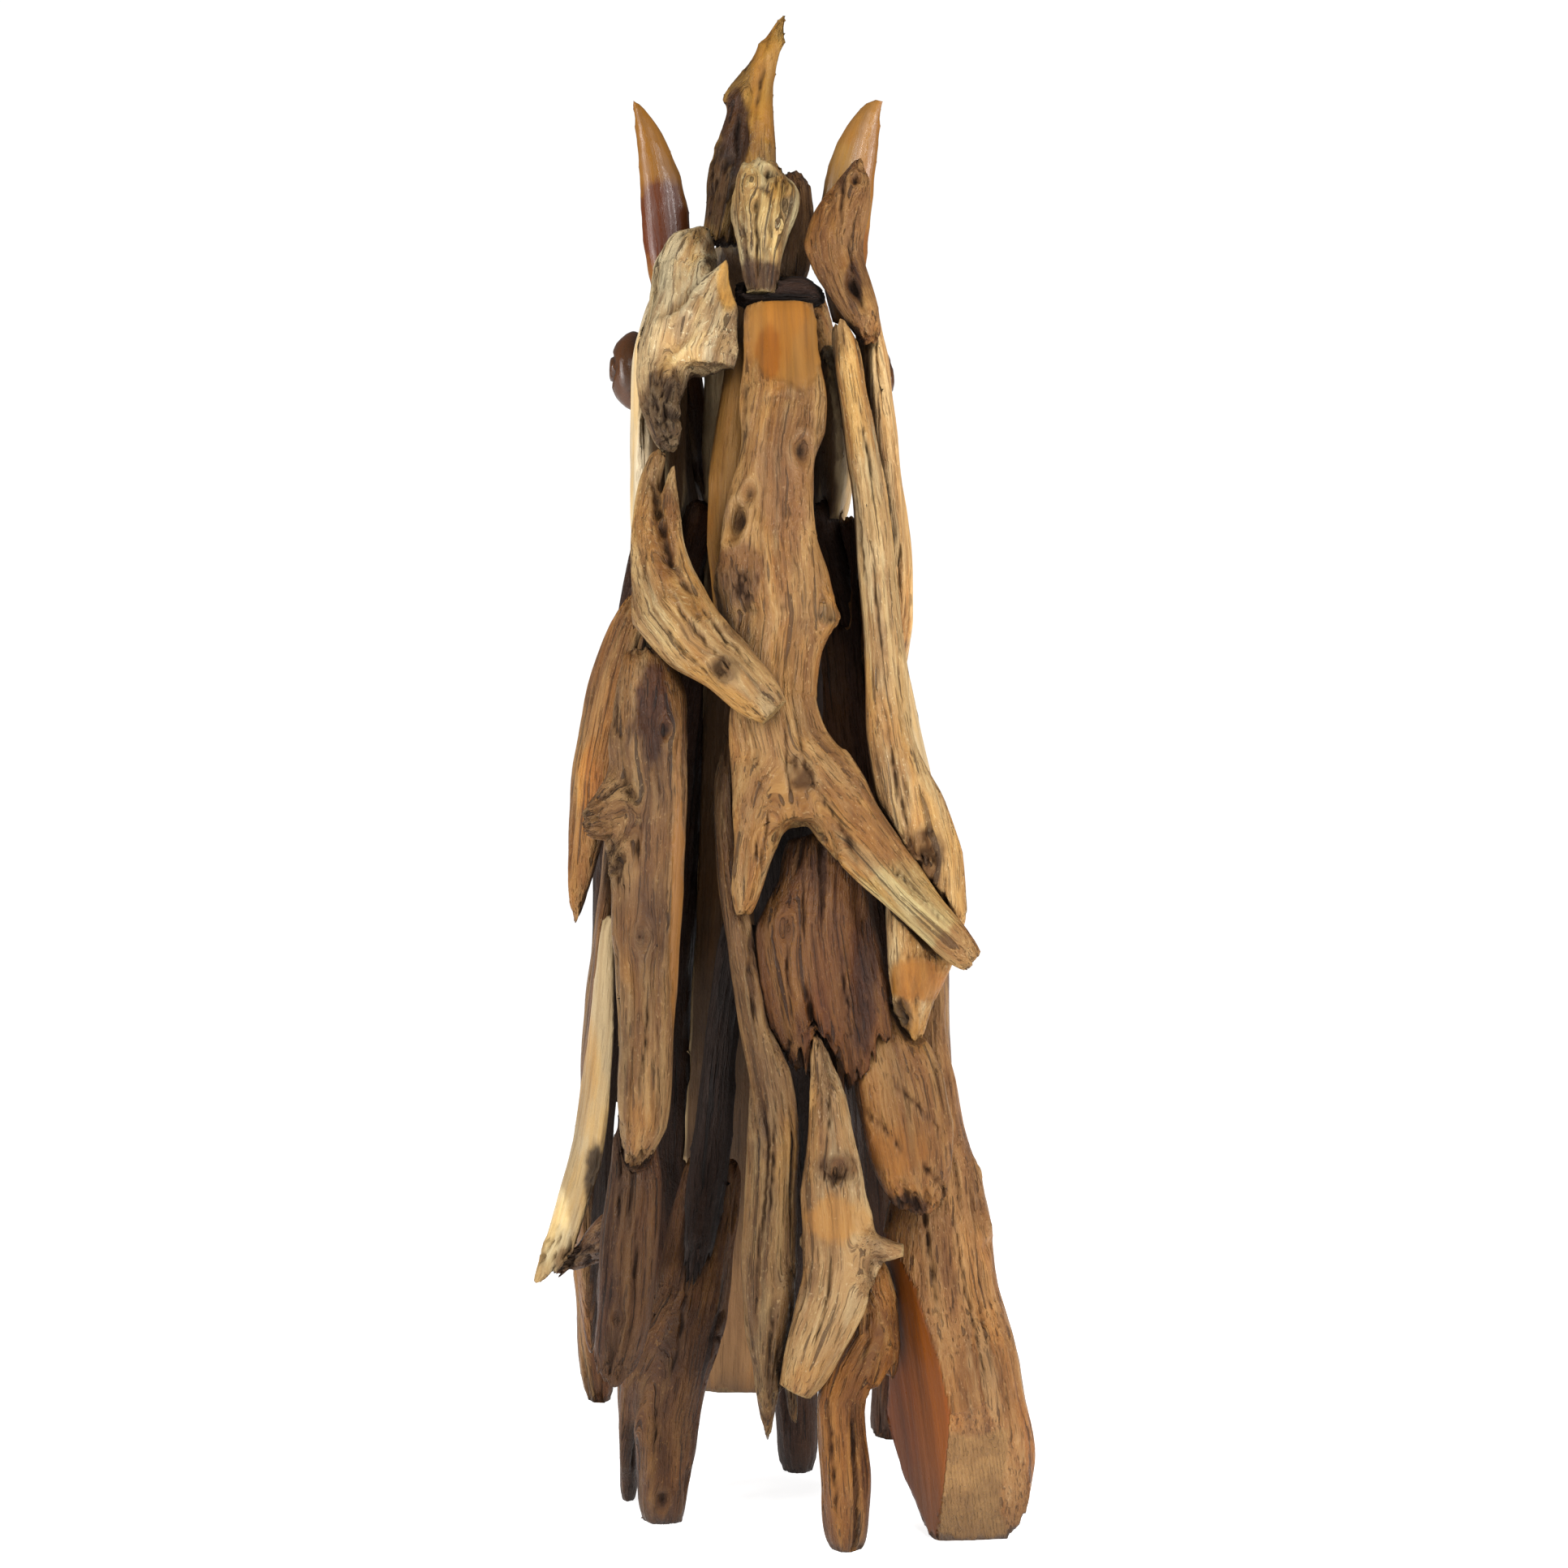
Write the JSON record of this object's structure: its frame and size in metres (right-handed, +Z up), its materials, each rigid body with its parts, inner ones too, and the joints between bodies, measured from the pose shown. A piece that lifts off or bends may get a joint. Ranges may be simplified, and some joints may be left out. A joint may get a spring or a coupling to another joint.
{
  "type": "driftwood horse head sculpture",
  "caption": "Free-standing horse head and neck assembled from weathered teak driftwood roots, planks and leg-like roots that stand on sawn feet.",
  "frame": {"origin": "on the floor, at the middle of the sculpture's overall footprint box", "axes": "+Z up; the horse looks along +Y, its mane faces -Y, and its own right side is at +X"},
  "size_m": [0.6521, 0.9946, 2.0303],
  "materials": {
    "weathered_teak": "weathered, dry and furrowed along the grain",
    "golden_teak": "oiled, golden brown, with dark checks",
    "pale_teak": "sanded smooth, pale",
    "dark_teak": "dark, unsanded inner wood",
    "polished_teak": "sanded and polished, honey brown",
    "eye_teak": "polished, dark"
  },
  "bodies": {
    "root": {"curved_mane_branch": "golden_teak", "poll_stub": "weathered_teak", "root_foot": "golden_teak", "centre_mane_root": "golden_teak", "upper_left_root": "weathered_teak", "upper_right_root": "weathered_teak", "left_mane_trunk": "weathered_teak", "left_lower_plank": "weathered_teak", "right_mane_plank": "golden_teak", "right_cross_wedge": "golden_teak", "centre_leg": "weathered_teak", "centre_left_plank": "weathered_teak", "centre_lower_slab": "weathered_teak", "left_flare_plank": "pale_teak", "left_flare_root": "weathered_teak", "left_inner_plank": "dark_teak", "right_leg": "golden_teak", "left_leg": "weathered_teak", "centre_backing_plank": "pale_teak", "crest_root": "golden_teak", "poll_block": "weathered_teak", "poll_shelf": "dark_teak", "left_ear": "polished_teak", "right_ear": "polished_teak", "left_throat_root": "weathered_teak", "right_throat_root": "weathered_teak", "left_chest_root": "golden_teak", "right_chest_root": "weathered_teak", "left_neck_upper": "pale_teak", "right_neck_side": "golden_teak", "left_neck_plank": "golden_teak", "right_flank_plank": "pale_teak", "left_side_plank": "weathered_teak", "right_side_plank": "weathered_teak", "left_shoulder_plank": "golden_teak", "right_shoulder_plank": "golden_teak", "left_front_leg": "golden_teak", "right_front_leg": "weathered_teak", "front_left_plank": "weathered_teak", "front_right_plank": "golden_teak", "front_centre_plank": "pale_teak", "heart_post": "dark_teak", "nose_bridge": "pale_teak", "left_eye": "eye_teak", "right_eye": "eye_teak", "left_face_plank": "golden_teak", "right_face_plank": "golden_teak", "muzzle": "polished_teak", "left_cheek": "pale_teak", "right_cheek": "pale_teak", "left_jaw_bar": "weathered_teak", "right_jaw_bar": "weathered_teak", "chin": "golden_teak"}
  },
  "joints": []
}
